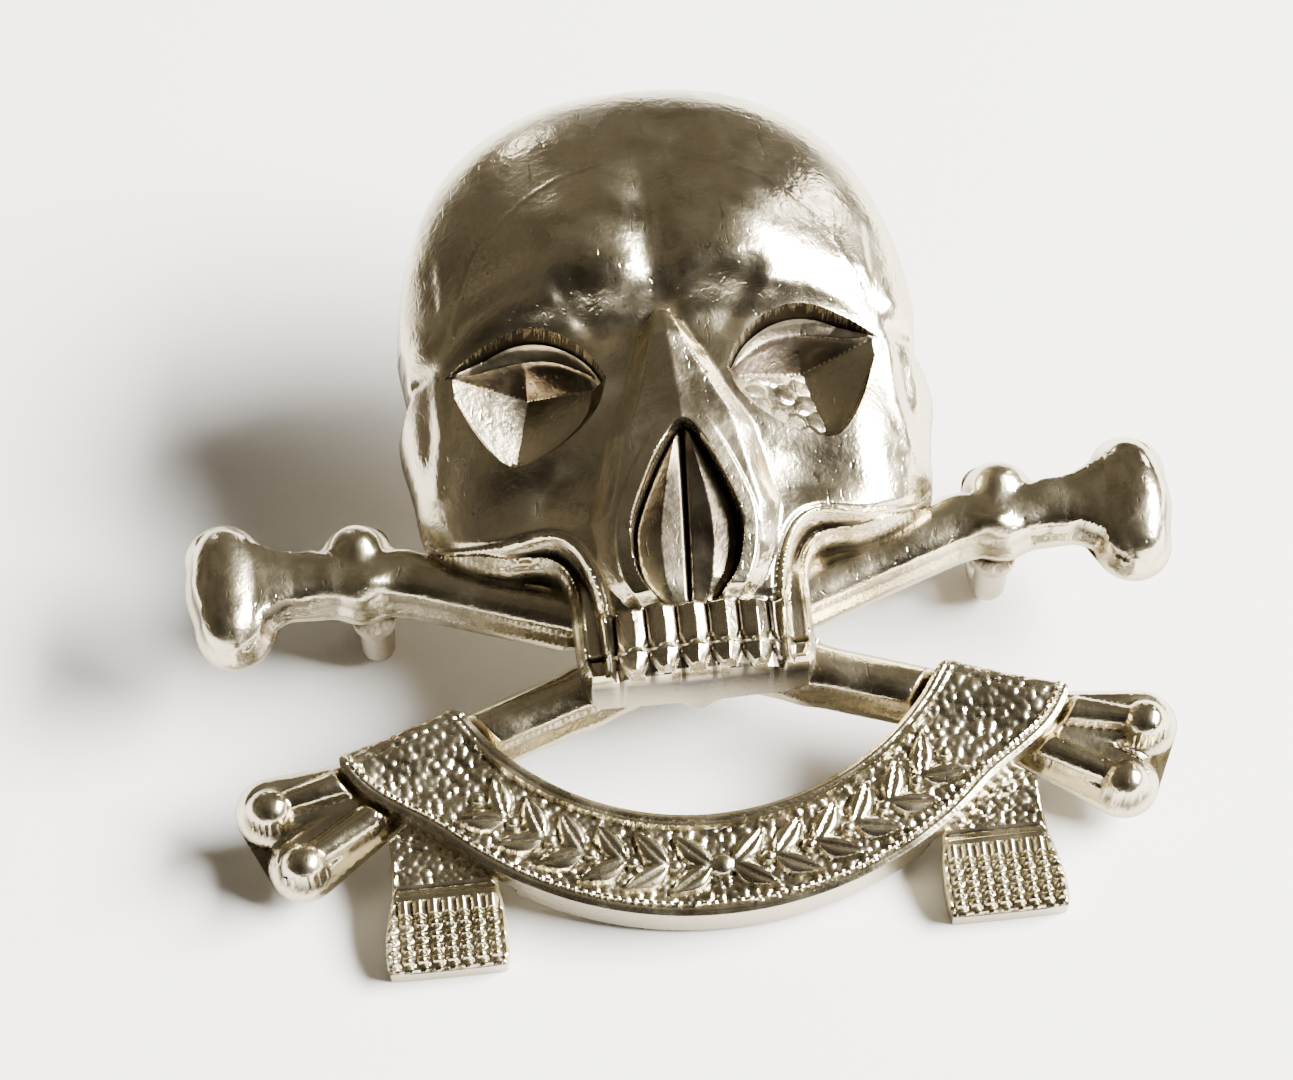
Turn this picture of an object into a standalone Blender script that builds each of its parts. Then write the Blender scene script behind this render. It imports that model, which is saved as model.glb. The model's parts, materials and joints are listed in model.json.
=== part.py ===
"""Cap badge: a hollow skull over two crossed bones, a fringed scroll, and two wire lugs behind.

Every shape is drawn in the badge's own plane, in millimetres: x across, y up to the crown and
z out of the front, with the rear rims at z = 0. One empty then lays the whole badge down as it
rests on a table, face up, on the lower edges of its tails and the ends of its lugs.
"""
import math

import bmesh
import bpy
import numpy as np

MM = 0.001                 # one millimetre, in metres
GAP = 0.3                  # clearance between pieces that touch

# Skull
CROWN_Y = 46.75            # top of the cranium
CHIN_Y = 12.55             # lower edge of the jaw
CRANIUM_HALF_WIDTH = 13.35
CRANIUM_MIDDLE_Y = 30.0
DOME_MIDDLE_Y = 31.0
DOME_HALF_WIDTH = 13.9     # the dome would reach a little past the rim on every side
DOME_UP = 16.6
DOME_DOWN = 22.0
SKULL_RISE = 8.4           # the forehead's height over the rear rim
SKULL_WALL = 0.6
SKULL_RIM = 0.9            # flat rear rim, and the height of its upright edge
CHEEK_RIM = 2.6            # the upright edge where the skull stands over the bones
ROLL = 3.6                 # width of the rolled edge inside the rim
ROLL_RISE = 6.0
JAW_HALF_WIDTH = 5.85

# Crossed bones, described for the one that runs from upper left to lower right
BONE_TOP = 1.75            # height of a shaft
BONE_EDGE = 0.35           # its upright edge
LAP_TOP = 0.7              # the lower half of the halved joint
LAP_REACH = 1.2            # how far the halving runs past the other bone
UNDER_SCROLL = 1.0         # height of what passes under the scroll

# Scroll
SCROLL_MIDDLE_Y = 19.8     # centre of the scroll's arcs
SCROLL_INNER = 13.6
SCROLL_OUTER = 18.75
SCROLL_END_FLARE = 1.25    # the outer arc runs out to the fold's corner
SCROLL_TOP = 2.1
SCROLL_WALL = 0.8
SCROLL_END_ANGLE = 61.5    # from straight down to the inner end of the fold
SCROLL_END_SLANT = 2.6     # the fold leans by this much more at the outer arc

# Tails
TAIL_TOP = 1.0
FRINGE_TOP = 1.4
FRINGE_Y = 3.7             # upper edge of the fringe

# Lugs
LUG_X = 15.6
LUG_Y = 21.4
LUG_DEPTH = 6.2            # from the back of the badge to the end of the loop
LUG_WIRE = 0.85            # radius of the wire
LUG_BEND = 1.9             # radius of the loop's centre line
PAD_RADIUS = 1.1
PAD_THICKNESS = 0.6


def clear_scene():
    for old in list(bpy.data.objects):
        bpy.data.objects.remove(old)


def metal(name, colour, roughness):
    """A material with one metal's colour and roughness."""
    made = bpy.data.materials.new(name)
    made.use_nodes = True
    shader = made.node_tree.nodes["Principled BSDF"]
    shader.inputs["Base Color"].default_value = (*colour, 1.0)
    shader.inputs["Roughness"].default_value = roughness
    shader.inputs["Metallic"].default_value = 1.0
    return made


def step(low, high, value):
    """0 at low, 1 at high and smooth between; low may be the larger of the two."""
    share = np.clip((value - low) / (high - low), 0.0, 1.0)
    return share * share * (3.0 - 2.0 * share)


def soft_max(first, second, blend):
    share = np.clip(0.5 + 0.5 * (first - second) / blend, 0.0, 1.0)
    return second + (first - second) * share + blend * share * (1.0 - share)


def soft_min(first, second, blend):
    return -soft_max(-first, -second, blend)


def bump(x, y, middle, reach):
    """1 at the middle, falling to nothing at about twice the reach, which is (across, along)."""
    return np.exp(-((x - middle[0]) / reach[0]) ** 2 - ((y - middle[1]) / reach[1]) ** 2)


def bar_depth(x, y, start, end):
    """Depth inside a round-ended bar; each end is (x, y, radius)."""
    run_x = end[0] - start[0]
    run_y = end[1] - start[1]
    share = ((x - start[0]) * run_x + (y - start[1]) * run_y) / (run_x ** 2 + run_y ** 2)
    share = np.clip(share, 0.0, 1.0)
    radius = start[2] + share * (end[2] - start[2])
    away = np.hypot(x - start[0] - share * run_x, y - start[1] - share * run_y)
    return radius - away, radius


def polygon_depth(x, y, corners):
    """Depth inside a closed outline, negative outside it."""
    nearest = np.full(np.shape(x), 1e9)
    inside = np.zeros(np.shape(x), dtype=bool)
    for (ax, ay), (bx, by) in zip(corners, corners[1:] + corners[:1]):
        run_x = bx - ax
        run_y = by - ay
        share = ((x - ax) * run_x + (y - ay) * run_y) / (run_x ** 2 + run_y ** 2)
        share = np.clip(share, 0.0, 1.0)
        nearest = np.minimum(nearest, np.hypot(x - ax - share * run_x, y - ay - share * run_y))
        if ay != by:
            crosses = (ay > y) != (by > y)
            inside ^= crosses & (x < ax + (y - ay) * run_x / run_y)
    return np.where(inside, nearest, -nearest)


# ---- skull ----------------------------------------------------------------------------------

FACE_SIDE = [(12.95, 29.8), (13.7, 28.2), (13.0, 24.9), (12.9, 22.6), (12.3, 21.1),
             (10.6, 20.0), (8.8, 19.45), (7.4, 19.45), (6.5, 19.1), (5.95, 18.3),
             (JAW_HALF_WIDTH, 17.0), (JAW_HALF_WIDTH, 13.6), (5.3, CHIN_Y + 0.1)]


# the eye socket on the right: (x, y, z) round its rim, and its deepest point under the brow
SOCKET_RIM = [(11.0, 30.1, 5.0), (7.4, 31.3, 6.6), (4.2, 30.2, 6.7), (3.1, 28.0, 6.8),
              (4.4, 25.2, 6.6), (7.5, 24.0, 6.2), (9.5, 26.4, 5.4)]
SOCKET_DEEPEST = (7.0, 29.2, 3.2)


def skull_outline():
    """Half the cranium as a squared-off oval, then cheekbone, cheek and jaw, then mirrored."""
    half = []
    for turn in range(0, 85, 7):
        across = math.sin(math.radians(turn)) ** 0.8 * CRANIUM_HALF_WIDTH
        up = math.cos(math.radians(turn)) ** 0.8 * (CROWN_Y - CRANIUM_MIDDLE_Y)
        half.append((across, CRANIUM_MIDDLE_Y + up))
    half += FACE_SIDE
    return half + [(0.0, CHIN_Y)] + [(-x, y) for x, y in reversed(half) if x > 0.0]


SKULL_OUTLINE = skull_outline()


def skull_depth(x, y):
    return polygon_depth(x, y, SKULL_OUTLINE)


def socket_floor(side, y):
    """A pit of flat facets, each from the deepest point out to one stretch of the socket's rim."""
    deep_x, deep_y, deep_z = SOCKET_DEEPEST
    facets = []
    for first, second in zip(SOCKET_RIM, SOCKET_RIM[1:] + SOCKET_RIM[:1]):
        ax, ay, az = (first[0] - deep_x, first[1] - deep_y, first[2] - deep_z)
        bx, by, bz = (second[0] - deep_x, second[1] - deep_y, second[2] - deep_z)
        turn = ax * by - ay * bx
        slope_x = (az * by - bz * ay) / turn
        slope_y = (bz * ax - az * bx) / turn
        facets.append(deep_z + slope_x * (side - deep_x) + slope_y * (y - deep_y))
    return np.maximum.reduce(facets)


def skull_front(x, y):
    side = np.abs(x)
    across = (side / DOME_HALF_WIDTH) ** 2.15
    up = (np.clip(y - DOME_MIDDLE_Y, 0.0, None) / DOME_UP) ** 2.15
    down = (np.clip(DOME_MIDDLE_Y - y, 0.0, None) / DOME_DOWN) ** 2.15
    face = SKULL_RISE * np.sqrt(np.clip(1.0 - across - up - down, 0.0, None))
    face += 0.4 * bump(side, y, (4.4, 35.0), (2.6, 2.8))
    face -= 0.6 * bump(side, y, (3.3, 31.0), (1.6, 1.4))
    face = np.minimum(face, socket_floor(side, y))

    # nose: a ridge that widens downwards, with a drop-shaped opening
    flank = 1.0 + 0.33 * np.clip(31.0 - y, 0.0, 10.5)
    nose = 7.4 - 0.09 * np.clip(29.0 - y, 0.0, None) - 1.9 * (side / flank) ** 1.6
    nose = np.where((y < 31.0) & (y > 16.0), nose, 0.0)
    face = soft_max(face, nose, 0.5)
    opening = polygon_depth(x, y, [(0.2, 25.0), (2.0, 21.9), (2.7, 19.3), (1.9, 16.6), (0.0, 15.8),
                                   (-1.9, 16.6), (-2.7, 19.3), (-2.0, 21.9)])
    face -= 1.2 * step(0.0, 0.8, opening)

    # upper jaw and teeth, curving back at the sides and in towards the chin
    jaw = 5.4 - 2.2 * (side / JAW_HALF_WIDTH) ** 3.0 - 1.6 * step(14.2, CHIN_Y, y)
    mouth = step(21.0, 18.0, y)
    face = face * (1.0 - mouth) + jaw * mouth

    # every edge rolls over to an upright rim
    depth = np.clip(skull_depth(x, y), 0.0, None)
    rim = SKULL_RIM + (CHEEK_RIM - SKULL_RIM) * step(25.8, 23.6, y)
    rolled = rim + ROLL_RISE * np.sqrt(1.0 - np.clip(1.0 - depth / ROLL, 0.0, 1.0) ** 2)
    rolled += 2.0 * np.clip(depth - ROLL, 0.0, None)
    return np.maximum(soft_min(face, rolled, 0.5), rim)


def skull_back(x, y):
    """A flat rear rim, and behind the face a hollow that leaves an even wall."""
    low = skull_front(x, y)
    for turn in range(8):
        shift_x = SKULL_WALL * math.cos(turn * math.pi / 4.0)
        shift_y = SKULL_WALL * math.sin(turn * math.pi / 4.0)
        low = np.minimum(low, skull_front(x + shift_x, y + shift_y))
    hollow = low - SKULL_WALL
    flat = skull_depth(x, y) < SKULL_RIM
    over_bone = np.maximum(bone_depth(x, y), bone_depth(-x, y)) > -LAP_REACH - 0.1
    over_bone |= y < CHIN_Y + SKULL_RIM
    back = np.where(flat, 0.0, np.clip(hollow, 0.0, None))
    return np.where(over_bone, np.maximum(back, BONE_TOP + GAP), back)


# ---- bones ----------------------------------------------------------------------------------

BONE_BARS = [
    ((-14.0, 20.9, 1.75), (5.5, 13.75, 1.6)),        # shaft, upper half
    ((5.5, 13.75, 1.6), (16.5, 9.9, 1.6)),           # shaft, lower half
    ((-16.2, 22.5, 1.8), (-16.0, 20.6, 1.75)),       # collar
    ((-14.0, 20.9, 1.75), (-20.5, 21.3, 1.85)),      # neck
    ((-22.85, 23.1, 1.9), (-22.5, 19.0, 1.95)),      # trumpet end
    ((-21.6, 21.25, 2.5), (-22.1, 21.25, 2.7)),
    ((16.5, 9.9, 1.6), (21.25, 9.25, 1.8)),          # upper knuckle
    ((16.0, 9.0, 1.5), (19.9, 6.3, 1.75)),           # lower knuckle
]


def bone_depth(x, y):
    depth = np.full(np.shape(x), -1e9)
    for start, end in BONE_BARS:
        depth = soft_max(depth, bar_depth(x, y, start, end)[0], 0.35)
    return depth


def bone_round(x, y):
    """The bone's rounded front, with nothing let in."""
    top = np.full(np.shape(x), BONE_EDGE)
    for start, end in BONE_BARS:
        depth, radius = bar_depth(x, y, start, end)
        inward = np.clip(1.0 - depth / radius, 0.0, 1.0)
        rise = (BONE_TOP - BONE_EDGE) * radius / 1.7
        top = np.maximum(top, BONE_EDGE + rise * np.sqrt(1.0 - inward ** 2))
    return top


def over_front(x, y):
    """Front of the bone that lies uppermost where the two cross."""
    top = np.maximum(bone_round(x, y), over_back(x, y) + 0.4)
    return np.where(scroll_depth(x, y) > -LAP_REACH, np.minimum(top, UNDER_SCROLL), top)


def over_back(x, y):
    return np.where(bone_depth(-x, y) > -LAP_REACH, (LAP_TOP + GAP) * crossing(x), 0.0)


def under_front(x, y):
    """Front of the other bone, drawn as the mirror image, halved where the first passes."""
    top = bone_round(-x, y)
    halved = (bone_depth(x, y) > -LAP_REACH) & (crossing(x) > 0.0)
    top = np.where(halved, np.minimum(top, LAP_TOP), top)
    return np.where(scroll_depth(x, y) > -LAP_REACH, np.minimum(top, UNDER_SCROLL), top)


def under_depth(x, y):
    return bone_depth(-x, y)


def crossing(x):
    """1 behind the jaw, where the bones cross."""
    return np.where(np.abs(x) < 9.0, 1.0, 0.0)


def flat_back(x, y):
    return np.zeros(np.shape(x))


# ---- scroll ---------------------------------------------------------------------------------

def scroll_polar(x, y):
    radius = np.hypot(x, y - SCROLL_MIDDLE_Y)
    angle = np.degrees(np.arctan2(np.abs(x), SCROLL_MIDDLE_Y - y))
    return radius, angle


def scroll_outer(angle):
    return SCROLL_OUTER + SCROLL_END_FLARE * step(44.0, SCROLL_END_ANGLE, angle)


def scroll_depth(x, y):
    radius, angle = scroll_polar(x, y)
    slant = SCROLL_END_SLANT * (radius - SCROLL_INNER) / (SCROLL_OUTER - SCROLL_INNER)
    end = np.radians(SCROLL_END_ANGLE + slant - angle) * radius
    return np.minimum.reduce([radius - SCROLL_INNER, scroll_outer(angle) - radius, end])


def scroll_front(x, y):
    """A gently crowned face between two raised edges."""
    depth = np.clip(scroll_depth(x, y), 0.0, None)
    return SCROLL_TOP - 0.15 * step(0.4, 0.8, depth)


def scroll_back(x, y):
    """Hollow behind, with a skirt down to the rear plane where nothing passes under it."""
    skirt = scroll_depth(x, y) < 0.75
    bones = np.maximum(bone_depth(x, y), bone_depth(-x, y))
    passing = np.maximum(bones, tail_depth(np.abs(x), y)) > -1.1
    raised = SCROLL_TOP - SCROLL_WALL
    return np.where(skirt & ~passing, 0.0, raised)


# ---- tails ----------------------------------------------------------------------------------

TAIL_OUTLINE = [(10.6, 0.15), (10.75, 0.0), (16.1, 0.0), (16.3, 0.3), (16.35, 1.4), (16.1, 2.9),
                (15.8, 3.9), (15.7, 6.0), (15.85, 7.6), (14.4, 8.0), (11.4, 9.1), (10.8, 7.0),
                (10.75, 4.2), (10.5, 2.8), (10.45, 1.0)]


def tail_depth(x, y):
    """The tail on the right; it stops short of the bone that crosses it."""
    own = polygon_depth(x, y, TAIL_OUTLINE)
    return np.minimum(own, -GAP - 0.1 - bone_depth(x, y))


def tail_front(x, y):
    raised = (FRINGE_TOP - TAIL_TOP) * step(FRINGE_Y, FRINGE_Y - 0.5, y)
    return TAIL_TOP - 0.35 * step(0.5, 0.0, tail_depth(x, y)) + raised


def left_tail_depth(x, y):
    return tail_depth(-x, y)


def left_tail_front(x, y):
    return tail_front(-x, y)


# ---- solids ---------------------------------------------------------------------------------

def slide_to_edge(x, y, depth_of):
    """Move points onto the outline, along the outline's own slope."""
    nudge = 0.02
    for _ in range(6):
        depth = depth_of(x, y)
        slope_x = (depth_of(x + nudge, y) - depth_of(x - nudge, y)) / (2.0 * nudge)
        slope_y = (depth_of(x, y + nudge) - depth_of(x, y - nudge)) / (2.0 * nudge)
        steep = np.maximum(slope_x ** 2 + slope_y ** 2, 0.25)
        x = x - depth * slope_x / steep
        y = y - depth * slope_y / steep
    return x, y


def trim_to_outline(form, depth_of, pitch):
    """Keep the grid's squares that lie inside the outline, and fit their border to it."""
    place = np.array([vert.co for vert in form.verts])
    depth = depth_of(place[:, 0], place[:, 1])
    form.verts.index_update()
    outside = [face for face in form.faces
               if min(depth[vert.index] for vert in face.verts) < -0.4 * pitch]
    bmesh.ops.delete(form, geom=outside, context="FACES")
    border = [vert for vert in form.verts if vert.is_boundary]
    x, y = slide_to_edge(np.array([vert.co.x for vert in border]),
                         np.array([vert.co.y for vert in border]), depth_of)
    for vert, new_x, new_y in zip(border, x, y):
        vert.co.x = new_x
        vert.co.y = new_y


def struck_plate(name, box, pitch, depth_of, front_of, back_of, finish, easel):
    """A closed body between a front and a back, both heights over the badge's plane."""
    left, right, bottom, top = box
    form = bmesh.new()
    bmesh.ops.create_grid(form, x_segments=round((right - left) / pitch),
                          y_segments=round((top - bottom) / pitch), size=0.5)
    bmesh.ops.scale(form, vec=(right - left, top - bottom, 1.0), verts=form.verts)
    bmesh.ops.translate(form, vec=((left + right) / 2.0, (bottom + top) / 2.0, 0.0),
                        verts=form.verts)
    trim_to_outline(form, depth_of, pitch)
    rear = form.verts[:]
    raised = bmesh.ops.extrude_face_region(form, geom=form.faces[:])["geom"]
    front = [item for item in raised if isinstance(item, bmesh.types.BMVert)]
    for verts, height_of in ((front, front_of), (rear, back_of)):
        height = height_of(np.array([vert.co.x for vert in verts]),
                           np.array([vert.co.y for vert in verts]))
        for vert, z in zip(verts, height):
            vert.co.z = z
    return finished(name, form, finish, easel)


def finished(name, form, finish, easel):
    """Turn a form in millimetres into a named object on the easel."""
    bmesh.ops.scale(form, vec=(MM, MM, MM), verts=form.verts)
    bmesh.ops.triangulate(form, faces=form.faces[:])
    bmesh.ops.recalc_face_normals(form, faces=form.faces[:])
    mesh = bpy.data.meshes.new(name)
    form.to_mesh(mesh)
    form.free()
    mesh.materials.append(finish)
    mesh.shade_smooth()
    mesh.set_sharp_from_angle(angle=math.radians(40.0))
    piece = bpy.data.objects.new(name, mesh)
    bpy.context.collection.objects.link(piece)
    piece.parent = easel
    return piece


def make_lug(name, x, finish, easel):
    """A wire loop in the plane across the badge, so that a pin passes through from side to side."""
    route = bpy.data.curves.new(name, "CURVE")
    route.dimensions = "3D"
    route.bevel_depth = LUG_WIRE * MM
    route.bevel_resolution = 3
    route.use_fill_caps = True
    foot = -(PAD_THICKNESS + 2.0 * GAP)
    turn_z = -(LUG_DEPTH - LUG_BEND - LUG_WIRE)
    points = [(x, LUG_Y - LUG_BEND, foot)]
    for turn in range(0, 181, 15):
        angle = math.radians(turn)
        points.append((x, LUG_Y - LUG_BEND * math.cos(angle), turn_z - LUG_BEND * math.sin(angle)))
    points.append((x, LUG_Y + LUG_BEND, foot))
    wire = route.splines.new("POLY")
    wire.points.add(len(points) - 1)
    for point, place in zip(wire.points, points):
        point.co = (place[0] * MM, place[1] * MM, place[2] * MM, 1.0)
    route.materials.append(finish)
    piece = bpy.data.objects.new(name, route)
    bpy.context.collection.objects.link(piece)
    piece.parent = easel


def make_pad(name, x, finish, easel):
    """The oval foot that both ends of a lug are brazed to."""
    form = bmesh.new()
    bmesh.ops.create_cone(form, cap_ends=True, segments=32, radius1=PAD_RADIUS,
                          radius2=PAD_RADIUS, depth=PAD_THICKNESS)
    for vert in form.verts:
        vert.co.y += math.copysign(LUG_BEND, vert.co.y + 1e-6)
    bmesh.ops.translate(form, vec=(x, LUG_Y, -GAP - PAD_THICKNESS / 2.0), verts=form.verts)
    finished(name, form, finish, easel)


def rest_tilt():
    """The lean at which the loops' round ends and the tails' lower rear edges touch one plane."""
    outer = LUG_BEND + LUG_WIRE
    middle_z = LUG_DEPTH - outer
    return math.asin(outer / math.hypot(LUG_Y, middle_z)) + math.atan2(middle_z, LUG_Y)


def stand_on_origin(easel):
    """Put the middle of the whole badge's footprint at the origin, with nothing below z = 0."""
    bpy.context.view_layer.update()
    graph = bpy.context.evaluated_depsgraph_get()
    spots = []
    for piece in easel.children:
        evaluated = piece.evaluated_get(graph)
        mesh = evaluated.to_mesh()
        spots += [piece.matrix_world @ vert.co for vert in mesh.vertices]
        evaluated.to_mesh_clear()
    spots = np.array(spots)
    low = spots.min(axis=0)
    high = spots.max(axis=0)
    easel.location = (-(low[0] + high[0]) / 2.0, -(low[1] + high[1]) / 2.0, -low[2])


clear_scene()
plate_metal = metal("plated_white_metal", (0.66, 0.59, 0.45), 0.24)
wire_metal = metal("lug_wire", (0.60, 0.53, 0.40), 0.34)
braze_metal = metal("braze", (0.55, 0.50, 0.42), 0.45)

easel = bpy.data.objects.new("easel", None)
bpy.context.collection.objects.link(easel)
easel.rotation_euler.x = rest_tilt()

struck_plate("skull_shell", (-14.4, 14.4, 11.7, 47.7), 0.9, skull_depth, skull_front,
             skull_back, plate_metal, easel)
struck_plate("crossbone_over", (-26.0, 24.5, 3.5, 26.5), 0.7, bone_depth, over_front,
             over_back, plate_metal, easel)
struck_plate("crossbone_under", (-24.5, 26.0, 3.5, 26.5), 0.7, under_depth, under_front,
             flat_back, plate_metal, easel)
struck_plate("scroll_band", (-19.6, 19.6, 0.0, 14.7), 0.7, scroll_depth, scroll_front,
             scroll_back, plate_metal, easel)
struck_plate("scroll_tail_right", (9.8, 17.0, -0.7, 9.8), 0.6, tail_depth, tail_front,
             flat_back, plate_metal, easel)
struck_plate("scroll_tail_left", (-17.0, -9.8, -0.7, 9.8), 0.6, left_tail_depth,
             left_tail_front, flat_back, plate_metal, easel)
for side, x in (("left", -LUG_X), ("right", LUG_X)):
    make_lug("lug_" + side, x, wire_metal, easel)
    make_pad("lug_pad_" + side, x, braze_metal, easel)
stand_on_origin(easel)
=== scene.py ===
"""Looks of the cap badge: a plated skull over crossed bones, a laurel scroll with fringed tails,
and two wire lugs. Heights and outlines are in millimetres in the badge's own plane, with x across,
y up to the crown and z out of the front; PLANE then lays them where the frame's badge lies."""

import json
import math

import bmesh
import bpy
import numpy as np
from mathutils import Matrix, Vector


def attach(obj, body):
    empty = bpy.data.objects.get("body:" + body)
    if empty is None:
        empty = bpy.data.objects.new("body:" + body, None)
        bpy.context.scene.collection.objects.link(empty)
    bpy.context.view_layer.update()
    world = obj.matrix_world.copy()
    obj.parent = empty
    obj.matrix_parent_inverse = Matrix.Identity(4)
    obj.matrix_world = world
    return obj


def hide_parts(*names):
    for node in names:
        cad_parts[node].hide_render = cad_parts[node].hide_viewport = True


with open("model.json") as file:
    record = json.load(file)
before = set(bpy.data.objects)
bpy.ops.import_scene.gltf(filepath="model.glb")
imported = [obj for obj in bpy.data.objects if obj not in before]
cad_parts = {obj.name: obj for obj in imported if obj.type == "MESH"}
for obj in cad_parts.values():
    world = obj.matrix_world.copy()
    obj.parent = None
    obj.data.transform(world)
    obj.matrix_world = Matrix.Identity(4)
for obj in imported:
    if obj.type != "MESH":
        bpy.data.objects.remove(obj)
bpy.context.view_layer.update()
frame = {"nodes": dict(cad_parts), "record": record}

MM = 0.001
BONES_CROSS_Y = 15.5       # the rear mount's place in the badge's plane

REAR = next(mount for mount in frame["record"]["mounts"] if mount["name"] == "rear_plane")
LEAN = math.atan2(REAR["axis"][1], -REAR["axis"][2])
PLANE = (Matrix.Translation(REAR["pos_m"]) @ Matrix.Rotation(LEAN, 4, "X")
         @ Matrix.Translation((0.0, -BONES_CROSS_Y * MM, 0.0)) @ Matrix.Scale(MM, 4))

# ---- measures -------------------------------------------------------------------------------

CROWN_Y = 46.75
CHIN_Y = 12.55
CRANIUM_HALF_WIDTH = 13.35
CRANIUM_MIDDLE_Y = 30.0
DOME_MIDDLE_Y = 31.0
DOME_HALF_WIDTH = 13.9
DOME_UP = 16.6
DOME_DOWN = 22.0
DOME_POWER = 2.15
CROWN_POWER = 2.6
SKULL_RISE = 8.4
SKULL_RIM = 0.9
ROLL_WIDTH = 1.7           # how the cranium rolls over to its rim
ROLL_RISE = 3.7
CHEEK_RIM = 2.3
CHIN_RIM = 3.3
TOOTH_PITCH = 1.5
TOOTH_CREST = 0.14         # how far to the right of its middle a tooth is highest
PARTING_Y = 13.85          # where the rows of teeth meet

BONE_SKIRT = 0.95          # height at which a bone's steep skirt turns into its rounded body
SKIRT_WIDTH = 0.42
BONE_ROUND = 0.95
BELL_X = [-24.8, -23.6, -22.3, -21.3, -20.6, -19.4, -17.8]
BELL_HALF = [3.3, 3.7, 3.85, 3.2, 2.6, 1.95, 1.85]
BELL_MIDDLE = [21.2, 21.1, 20.95, 21.0, 21.15, 21.3, 21.35]
BELL_RISE = [1.05, 1.15, 1.2, 1.15, 1.05, 0.95, 0.95]
BONE_ARMS = [((12.0, 11.5, 1.1), (21.0, 9.1, 0.7)), ((12.0, 10.9, 1.1), (19.6, 6.2, 0.7))]
BULB_X, BULB_Y = -22.8, 21.05
BULB_REACH_X, BULB_REACH_Y = 1.75, 3.3
BULB_RISE = 1.62
BONE_BALLS = [(21.3, 8.9), (19.85, 5.9)]
BALL_RADIUS = 1.2
BALL_RISE = 1.45
UNDER_SCROLL = 1.0

SCROLL_MIDDLE_Y = 19.8
SCROLL_INNER = 13.6
SCROLL_OUTER = 18.75
SCROLL_END_FLARE = 1.25
SCROLL_TOP = 2.1
SCROLL_END_ANGLE = 61.5
SCROLL_END_SLANT = 2.6
SCROLL_CORNER = 0.9
SCROLL_SUNK = 0.42         # the pebbled ground below the raised edges
SCROLL_FOLD = 1.0          # how far from its end the scroll starts to roll over
BEAD_PITCH = 0.42
LEAF_STEP = 2.05
LEAF_LENGTH = 2.55
LEAF_HALF_WIDTH = 0.62
LEAF_LEAN = math.radians(38.0)
SPRAY_REACH = 12.0         # how far the last stalk may stand from the middle

TAIL_TOP = 1.0
FRINGE_TOP = 1.3
FRINGE_Y = 3.6             # above it a double band, below it the cords
CORD_PITCH = 0.7
CORD_RISE = 0.42
KNOT_PITCH = 0.62

LUG_X = 15.6
LUG_Y = 21.4
LUG_DEPTH = 6.2
LUG_WIRE = 0.85
LUG_BEND = 1.9
LUG_FOOT = -1.2            # where the wire's ends meet the pad


# ---- shaping functions ----------------------------------------------------------------------

def step(low, high, value):
    """0 at low, 1 at high and smooth between; low may be the larger of the two."""
    share = np.clip((value - low) / (high - low), 0.0, 1.0)
    return share * share * (3.0 - 2.0 * share)


def ramp(low, high, value):
    """0 at low, 1 at high and straight between; the ends may differ from place to place."""
    run = high - low
    return np.clip((value - low) / np.where(np.abs(run) < 1e-6, 1e-6, run), 0.0, 1.0)


def soft_max(first, second, blend):
    share = np.clip(0.5 + 0.5 * (first - second) / blend, 0.0, 1.0)
    return second + (first - second) * share + blend * share * (1.0 - share)


def soft_min(first, second, blend):
    return -soft_max(-first, -second, blend)


def half_round(share):
    """A quarter circle, from 0 at the edge to 1 at full reach."""
    share = np.clip(share, 0.0, 1.0)
    return np.sqrt(1.0 - (1.0 - share) ** 2)


def swell(across, along, reach_across, reach_along):
    """1 at the middle, falling away to nothing."""
    return np.exp(-(across / reach_across) ** 2 - (along / reach_along) ** 2)


def ridge(distance, width):
    return np.exp(-(distance / width) ** 2)


def bar_depth(x, y, start, end):
    """Depth inside a round-ended bar, and its radius there; each end is (x, y, radius)."""
    run_x = end[0] - start[0]
    run_y = end[1] - start[1]
    share = ((x - start[0]) * run_x + (y - start[1]) * run_y) / (run_x ** 2 + run_y ** 2)
    share = np.clip(share, 0.0, 1.0)
    radius = start[2] + share * (end[2] - start[2])
    return radius - np.hypot(x - start[0] - share * run_x, y - start[1] - share * run_y), radius


def line_distance(x, y, points):
    """Distance from an open line through the points."""
    nearest = np.full(np.shape(x), 1e9)
    for (ax, ay), (bx, by) in zip(points, points[1:]):
        nearest = np.minimum(nearest, -bar_depth(x, y, (ax, ay, 0.0), (bx, by, 0.0))[0])
    return nearest


def outline_depth(x, y, corners):
    """Depth inside a closed outline, negative outside it."""
    inside = np.zeros(np.shape(x), dtype=bool)
    for (ax, ay), (bx, by) in zip(corners, corners[1:] + corners[:1]):
        if ay != by:
            inside ^= ((ay > y) != (by > y)) & (x < ax + (y - ay) * (bx - ax) / (by - ay))
    nearest = line_distance(x, y, corners + corners[:1])
    return np.where(inside, nearest, -nearest)


def rounded(corners, closed=False, turns=2):
    """Cut an outline's corners twice over, so that it runs as a curve."""
    for _ in range(turns):
        pairs = list(zip(corners, corners[1:] + (corners[:1] if closed else [])))
        cut = []
        for (ax, ay), (bx, by) in pairs:
            cut += [(ax * 0.75 + bx * 0.25, ay * 0.75 + by * 0.25),
                    (ax * 0.25 + bx * 0.75, ay * 0.25 + by * 0.75)]
        corners = cut if closed else [corners[0]] + cut[1:-1] + [corners[-1]]
    return corners


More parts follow.
